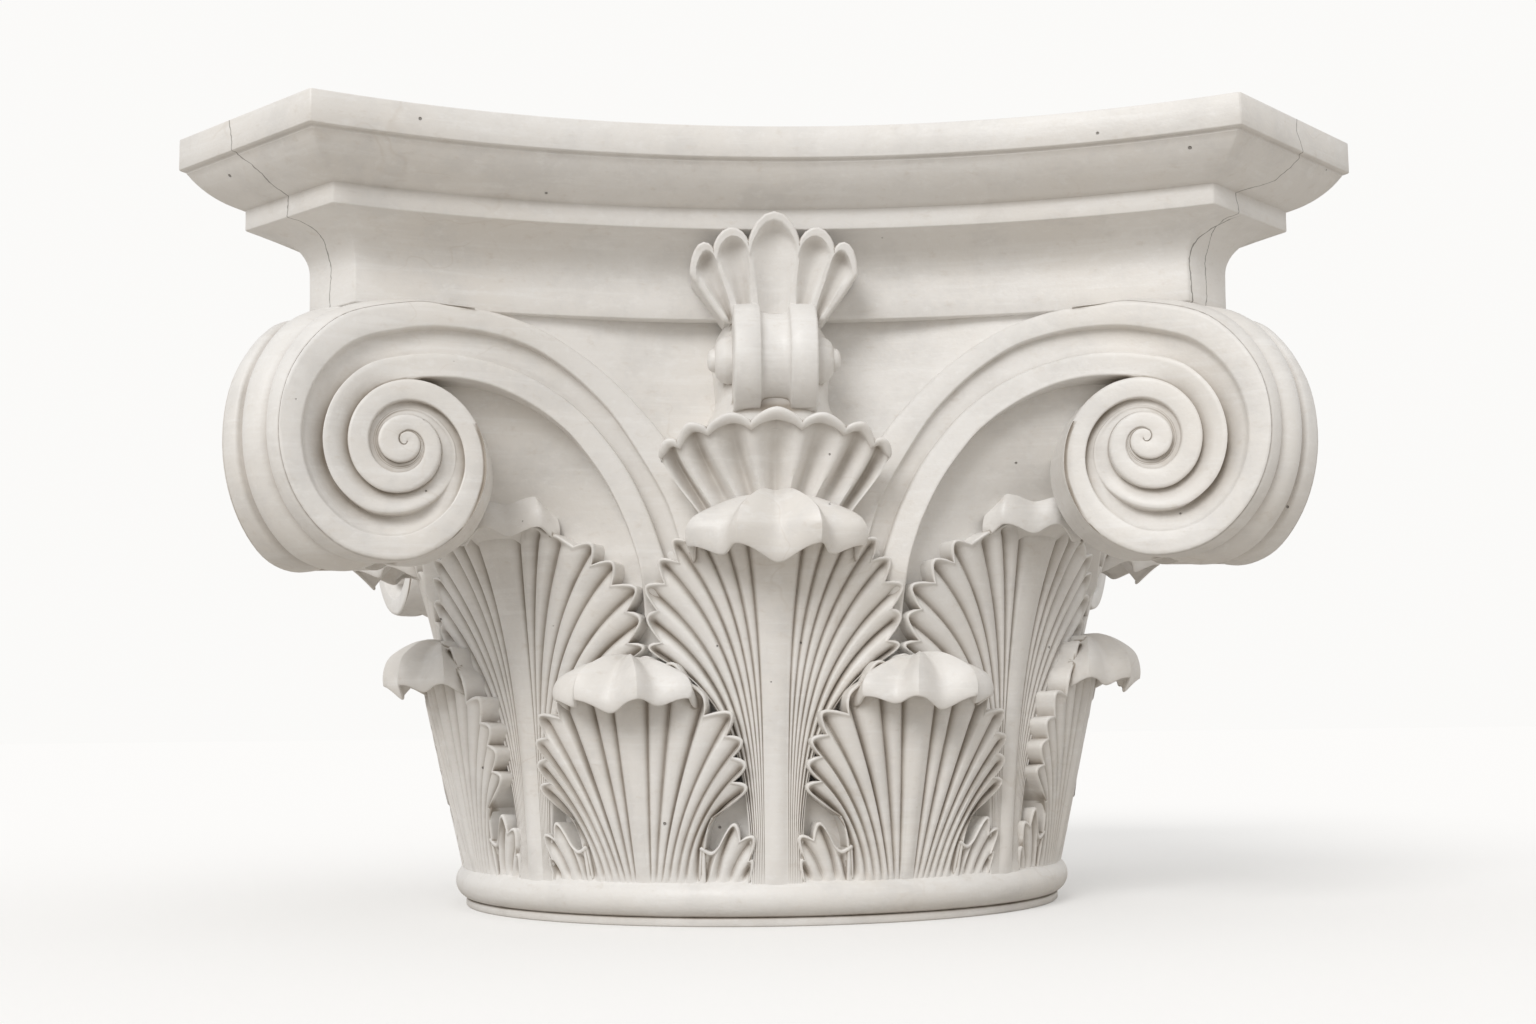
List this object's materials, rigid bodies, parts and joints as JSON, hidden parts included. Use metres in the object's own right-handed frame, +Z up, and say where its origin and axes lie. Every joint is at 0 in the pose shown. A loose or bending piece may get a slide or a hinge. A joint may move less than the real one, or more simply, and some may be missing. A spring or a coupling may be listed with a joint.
{
  "type": "corinthian capital",
  "caption": "Carved stone Corinthian capital with two rings of acanthus leaves, corner volutes and a moulded concave abacus.",
  "frame": {"origin": "centre of the foot fillet's underside, which is the seat on the column shaft", "axes": "+Z up along the column's axis, -Y towards the middle of the face that the picture shows, +X to that face's right"},
  "size_m": [0.6814, 0.6814, 0.4538],
  "materials": {
    "stone": "honed pale stone, dull, with faint veins and small pits"
  },
  "bodies": {
    "root": {"capital": "stone"}
  },
  "joints": []
}
